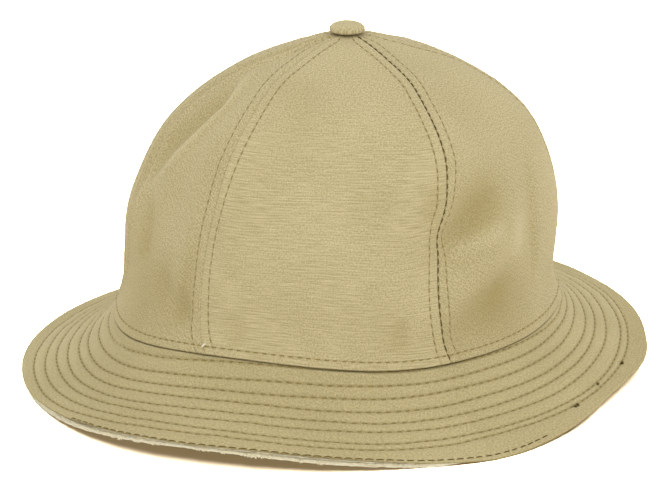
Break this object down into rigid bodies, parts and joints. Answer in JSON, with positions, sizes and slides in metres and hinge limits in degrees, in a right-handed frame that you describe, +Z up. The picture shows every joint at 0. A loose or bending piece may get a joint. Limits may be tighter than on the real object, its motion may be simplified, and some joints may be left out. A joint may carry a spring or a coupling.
{
  "type": "cloche hat",
  "caption": "Soft khaki cotton cloche hat: a rounded crown of sewn panels with a covered button, and a downward bell brim stitched in rows and faced with cream pile.",
  "frame": {"origin": "on the surface that the hat stands on, under the middle of the rim", "axes": "+Z up through the crown, -Y towards the front of the hat, +X towards the wearer's left"},
  "size_m": [0.2501, 0.2791, 0.1516],
  "materials": {
    "crown_cotton": "khaki slub-woven cotton, matt",
    "brim_cotton": "khaki slub-woven cotton, matt, stitched in rows",
    "cream_pile": "cream looped pile, matt",
    "plated_steel": "plain plated steel, hidden"
  },
  "bodies": {
    "root": {"front_panel": "crown_cotton", "front_left_panel": "crown_cotton", "back_left_panel": "crown_cotton", "back_panel": "crown_cotton", "back_right_panel": "crown_cotton", "front_right_panel": "crown_cotton", "brim_top": "brim_cotton", "brim_facing": "cream_pile", "top_button": "crown_cotton", "button_post": "plated_steel"}
  },
  "joints": []
}
